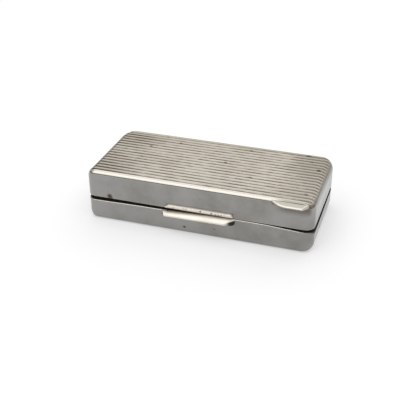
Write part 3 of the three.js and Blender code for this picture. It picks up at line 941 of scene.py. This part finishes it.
def tab_line(tree, where, body):
    """Dirt on the lid's edge along the tab's root, painted shade over the edge behind it, and a painted
    shadow on the wall below the tab.
    """
    x, y, z = axes(tree, where)
    beside = ramp(tree, x, *TAB_ROOT_X)
    behind = product(tree, beside, ramp(tree, z, *TAB_ROOT_Z))
    below = product(tree, beside, ramp(tree, y, *TAB_BELOW_Y), ramp(tree, z, *TAB_BELOW_Z))
    shade_behind = product(tree, behind, ramp(tree, y, *TAB_SHADE_BEHIND_Y))
    line = product(tree, behind, ramp(tree, y, *TAB_LINE_Y), patches(tree, where, TAB_LINE_BREAKS))
    # Painted shadow on the wall below the tab, in the spots' dark colour
    body = mix(tree, below, body, SPOT_DARK)
    # Painted shade over the lid's edge behind the tab
    body = mix(tree, shade_behind, body, TAB_STAIN_AND_SHADE)
    return mix(tree, line, body, GRIME_AND_SHADE)


def shaded_end(tree, where, body):
    """The right end's wall, darkened towards the back by painted shade."""
    x, y, _ = axes(tree, where)
    share = product(tree, ramp(tree, x, *RIGHT_WALL_X), ramp(tree, y, *RIGHT_WALL_Y))
    return mix(tree, share, body, WALL_END_SHADE)


def end_wear(tree, x, y):
    """How far a place on the lid's top is darkened towards its two ends, most at the back right."""
    sides = ramp(tree, math_node(tree, "ABSOLUTE", y), *LEFT_WEAR_Y)
    left = product(tree, ramp(tree, x, *LEFT_WEAR_X), sides)
    right = product(tree, ramp(tree, x, *RIGHT_WEAR_X), ramp(tree, y, *RIGHT_WEAR_Y))
    return math_node(tree, "MAXIMUM", left, right)


def field_patina(tree, where, y, ends):
    """The reeded field's warm colour, clouded, and darker towards the back and the ends."""
    clouds = patches(tree, where, FIELD_CLOUDS)
    aged = math_node(tree, "MULTIPLY_ADD", clouds, FIELD_CLOUDING, ramp(tree, y, *BACK_AGE_Y))
    worn = mix(tree, aged, FIELD_SILVER, TARNISH)
    return mix(tree, product(tree, ends, END_DARKENING), worn, END_TARNISH_AND_DARK_REFLECTION)


def groove_dirt(tree, where, ends):
    """How dark the grooves are: uneven along their length, and wider and darker at the lid's ends."""
    recess = attribute(tree, "recess")
    streaks = patches(tree, where, GROOVE_STREAKS)
    dirt = math_node(tree, "MULTIPLY_ADD", streaks, STREAK_DIRT, patches(tree, where, GROOVE_DASHES))
    more = math_node(tree, "MULTIPLY_ADD", streaks, END_STREAK_DIRT, END_DIRT)
    dirt = math_node(tree, "MULTIPLY_ADD", ends, more, dirt, clamp=True)
    spread = math_node(tree, "SUBTRACT", ramp(tree, recess, *GROOVE_SPREAD), recess)
    groove = math_node(tree, "MULTIPLY_ADD", spread, math_node(tree, "MINIMUM", ends, 1.0), recess)
    return product(tree, groove, dirt)


def lid_cover(tree, where, body):
    """The lid's right end darkened by painted shade, its reeded field and grooves, its darker edges, the
    back one by a painted dark reflection, and dirt and spots.
    """
    x, y, _ = axes(tree, where)
    ends = end_wear(tree, x, y)
    body = shaded_end(tree, where, body)
    body = mix(tree, attribute(tree, "field"), body, field_patina(tree, where, y, ends))
    body = mix(tree, groove_dirt(tree, where, ends), body, GROOVE_DARK)
    # Painted dark reflection along the lid's back edge
    back_edge_reflection = product(tree, ramp(tree, y, *FAR_BACK_Y), attribute(tree, "edge"))
    body = mix(tree, back_edge_reflection, body, END_TARNISH_AND_DARK_REFLECTION)
    strip = product(tree, attribute(tree, "strip"), ramp(tree, y, *STRIP_Y))
    body = mix(tree, strip, body, STRIP_DARK)
    body = tab_line(tree, where, body)
    body = add_marks(tree, where, body, place_of(TOP_MARKS, True), TOP_STRETCH, MARK_DARK)
    return add_marks(tree, where, body, place_of(LID_FRONT_MARKS, False))


def base_cover(tree, where, body):
    """The base's right end darkened by painted shade, and the spots on its front."""
    body = shaded_end(tree, where, body)
    return add_marks(tree, where, body, place_of(BASE_FRONT_MARKS, False), BASE_FRONT_STRETCH)


def lip_cover(tree, where, body):
    """Stains, small dark pits and larger marks on the satin thumbpiece."""
    body = mix(tree, patches(tree, where, LIP_STAINS), body, TARNISH)
    body = mix(tree, patches(tree, where, LIP_PITS), body, SPOT_DARK)
    return add_marks(tree, where, body, place_of(LIP_MARKS, False), LIP_STRETCH, MARK_DARK)


def tab_cover(tree, where, body):
    """A dull stained top inside the tab's bright rim, and sides darkened by painted shade."""
    top = mix(tree, patches(tree, where, TAB_CLOUDS), TAB_DULL, TAB_STAIN_AND_SHADE)
    body = mix(tree, attribute(tree, "dull"), body, top)
    return mix(tree, attribute(tree, "side"), body, TAB_SIDE_SHADE)


def silver(name, metal, cover=None, shade=TARNISH, hollow_shade_and_tarnish=HOLLOW_SHADE_AND_TARNISH):
    """Worn sheet silver: clouded, duller inside, darkened in its hollows by painted shade and tarnish,
    slightly dented and scratched.
    """
    material = bpy.data.materials.new(name)
    material.use_nodes = True
    tree = material.node_tree
    shader = tree.nodes["Principled BSDF"]
    shader.inputs["Specular IOR Level"].default_value = 0.0
    where = add_node(tree, "ShaderNodeTexCoord").outputs["Object"]
    inside = attribute(tree, "inside")
    grime = attribute(tree, "grime")
    clouds = patches(tree, where, SILVER_CLOUDS)

    body = mix(tree, product(tree, clouds, metal.clouds), metal.colour, shade)
    # Brighter edges and rims: polish from wear, partly a painted highlight
    body = mix(tree, attribute(tree, "edge"), body, EDGE_POLISH_AND_HIGHLIGHT)
    body = mix(tree, product(tree, inside, INSIDE_TARNISH), body, TARNISH)
    if cover:
        body = cover(tree, where, body)
    # Grime and dark joints, and painted shade in the seam and under the lips and tab, turn near-black,
    # lose their metal and grow rough
    body = mix(tree, product(tree, grime, GRIME_AND_SHADE_COVER), body, GRIME_AND_SHADE)
    # Painted shade from ambient occlusion, standing also for tarnish, darkens the hollows
    reach = {"Distance": HOLLOW_REACH}
    occlusion = add_node(tree, "ShaderNodeAmbientOcclusion", reach, samples=HOLLOW_SAMPLES).outputs["AO"]
    body = mix(tree, ramp(tree, occlusion, *HOLLOW_FADE, hollow_shade_and_tarnish, 0.0), body, GROOVE_DARK)
    tree.links.new(body, shader.inputs["Base Color"])
    metallic = math_node(tree, "MULTIPLY_ADD", grime, -GRIME_AND_SHADE_METAL_LOSS, 1.0)
    tree.links.new(metallic, shader.inputs["Metallic"])

    rough = metal.roughness
    rougher = (
        (clouds, CLOUD_ROUGHNESS),
        (noise(tree, where, *GRAIN), GRAIN_ROUGHNESS),
        (inside, INSIDE_ROUGHNESS),
        (grime, GRIME_AND_SHADE_ROUGHNESS),
        (attribute(tree, "field"), FIELD_ROUGHNESS),
    )
    for share, amount in rougher:
        rough = math_node(tree, "MULTIPLY_ADD", share, amount, rough)
    tree.links.new(rough, shader.inputs["Roughness"])

    dents = {"Height": noise(tree, where, *DENTS), "Strength": 1.0, "Distance": DENT_HEIGHT}
    dented = add_node(tree, "ShaderNodeBump", dents).outputs[0]
    scratches = {
        "Height": noise(tree, where, *SCRATCHES),
        "Strength": SCRATCH_STRENGTH,
        "Distance": SCRATCH_HEIGHT,
        "Normal": dented,
    }
    scratched = add_node(tree, "ShaderNodeBump", scratches).outputs[0]
    tree.links.new(scratched, shader.inputs["Normal"])
    return material


# Stage, light and camera

FLOOR_DROP = 0.05 * MM
FLOOR_SIZE = 20.0
FLOOR_COLOUR = (0.93, 0.93, 0.93, 1)
FLOOR_GLOW = 0.4
CAMERA_PLACE = Vector((56.56, -177.81, 109.49)) * MM
CAMERA_AIM = Vector((-0.9, 0.0, 0.0)) * MM
CAMERA_LENS = 67.69
CAMERA_NEAR = 10 * MM
SENSOR = 36.0

# The dome's light by how far a direction points back: from, to and the strengths there
HORIZON = (-0.3, 0.7, 0.2, 0.6)
ZENITH = (-1.0, 0.6, 0.45, 0.75)
DOME_RISE = (0.0, 0.7)

# Lamps: name, place and size in metres, and brightness
SOFTBOXES = (
    ("back_softbox", (0.03, 0.62, 0.40), (0.95, 0.7), 0.6),
    ("top_softbox", (-0.03, -0.25, 0.66), (1.1, 1.25), 1.0),
)


def add_floor():
    """A pale floor that keeps the shadow and shows as a white ground, and is clear from below."""
    half = FLOOR_SIZE / 2
    mesh = bpy.data.meshes.new("floor")
    corners = [(-half, -half), (half, -half), (half, half), (-half, half)]
    mesh.from_pydata([(x, y, -FLOOR_DROP) for x, y in corners], [], [(0, 1, 2, 3)])
    floor = bpy.data.objects.new("floor", mesh)
    bpy.context.scene.collection.objects.link(floor)
    material = bpy.data.materials.new("pale_floor")
    material.use_nodes = True
    tree = material.node_tree
    tree.nodes.remove(tree.nodes["Principled BSDF"])
    plain = add_node(tree, "ShaderNodeBsdfDiffuse", {"Color": FLOOR_COLOUR})
    glow = add_node(tree, "ShaderNodeEmission", {"Color": WHITE, "Strength": 1.0})
    ray = add_node(tree, "ShaderNodeLightPath")
    seen = math_node(tree, "MAXIMUM", ray.outputs["Is Camera Ray"], ray.outputs["Is Glossy Ray"])
    seen = math_node(tree, "MAXIMUM", seen, ray.outputs["Is Transmission Ray"])
    lift = product(tree, seen, FLOOR_GLOW)
    lit = add_node(tree, "ShaderNodeMixShader", {0: lift, 1: plain.outputs[0], 2: glow.outputs[0]})
    clear = add_node(tree, "ShaderNodeBsdfTransparent")
    under = add_node(tree, "ShaderNodeNewGeometry").outputs["Backfacing"]
    both = add_node(tree, "ShaderNodeMixShader", {0: under, 1: lit.outputs[0], 2: clear.outputs[0]})
    tree.links.new(both.outputs[0], tree.nodes["Material Output"].inputs["Surface"])
    mesh.materials.append(material)


def add_softbox(name, place, size, brightness):
    """A soft lamp that faces the object. Its brightness doesn't depend on its size."""
    light = bpy.data.lights.new(name, "AREA")
    light.shape = "RECTANGLE"
    light.size, light.size_y = size
    light.energy = brightness * math.pi * size[0] * size[1]
    lamp = bpy.data.objects.new(name, light)
    lamp.location = place
    lamp.rotation_mode = "QUATERNION"
    lamp.rotation_quaternion = Vector(place).to_track_quat("Z", "Y")
    bpy.context.scene.collection.objects.link(lamp)


def add_world():
    """A plain studio dome, dim at the horizon and towards the front, and brighter overhead."""
    world = bpy.data.worlds.new("studio")
    bpy.context.scene.world = world
    world.use_nodes = True
    tree = world.node_tree
    direction = add_node(tree, "ShaderNodeTexCoord").outputs["Generated"]
    _, back, up = axes(tree, direction)
    low = ramp(tree, back, *HORIZON)
    span = math_node(tree, "SUBTRACT", ramp(tree, back, *ZENITH), low)
    level = math_node(tree, "MULTIPLY_ADD", ramp(tree, up, *DOME_RISE), span, low)
    tree.links.new(level, tree.nodes["Background"].inputs["Strength"])
    tree.nodes["Background"].inputs["Color"].default_value = WHITE


def add_camera():
    """The camera, at the viewing angle from the front right and above."""
    data = bpy.data.cameras.new("camera")
    data.lens = CAMERA_LENS
    data.sensor_width = SENSOR
    data.clip_start = CAMERA_NEAR
    camera = bpy.data.objects.new("camera", data)
    camera.location = CAMERA_PLACE
    camera.rotation_mode = "QUATERNION"
    camera.rotation_quaternion = (CAMERA_AIM - CAMERA_PLACE).to_track_quat("-Z", "Y")
    bpy.context.scene.collection.objects.link(camera)
    bpy.context.scene.camera = camera


def build_pieces():
    """Makes the silvers, and each piece on its body in place of its solid."""
    reeded = silver("reeded_silver", WALL_METAL, lid_cover, WALL_SHADE)
    polished = silver("polished_silver", WALL_METAL, base_cover, WALL_SHADE)
    bright = silver("bright_silver", LIP_METAL, lip_cover, hollow_shade_and_tarnish=LIP_HOLLOW_SHADE_AND_TARNISH)
    tab = silver("tab_silver", TAB_METAL, tab_cover)
    dull = silver("dull_silver", INNER_METAL)
    drawn = silver("drawn_silver", HINGE_METAL)

    lid_case = case_shell("lid_case", 1, reeded, REED_SAMPLES, True)
    base_case = case_shell("base_case", -1, polished, PLAIN_SAMPLES, False)
    dress(lid_case, "lid", "reeded_silver", "lid_shell")
    dress(base_case, "base", "polished_silver", "base_shell")
    dress(upper_lip(bright), "lid", "polished_silver", "upper_thumb_lip")
    dress(lower_lip(bright), "base", "polished_silver", "lower_thumb_lip")
    dress(lid_tab(tab), "lid", "polished_silver", "lid_tab")
    dress(inner_bezel(dull), "base", "inner_silver", "inner_bezel")
    dress(hinge_pin(drawn), "base", "hinge_silver", "hinge_pin")
    for node in sorted(frame["nodes"]):
        if node.startswith("hinge_knuckle"):
            body = node.split("_")[2]
            dress(knuckle(node, drawn), body, "hinge_silver", node)
        elif node.startswith("hinge_bearer"):
            materials = frame["nodes"][node].data.materials
            materials.clear()
            materials.append(dull)


def main():
    """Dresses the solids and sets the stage."""
    bpy.context.scene.view_settings.view_transform = "Standard"
    build_pieces()
    add_floor()
    for softbox in SOFTBOXES:
        add_softbox(*softbox)
    add_world()
    add_camera()


main()
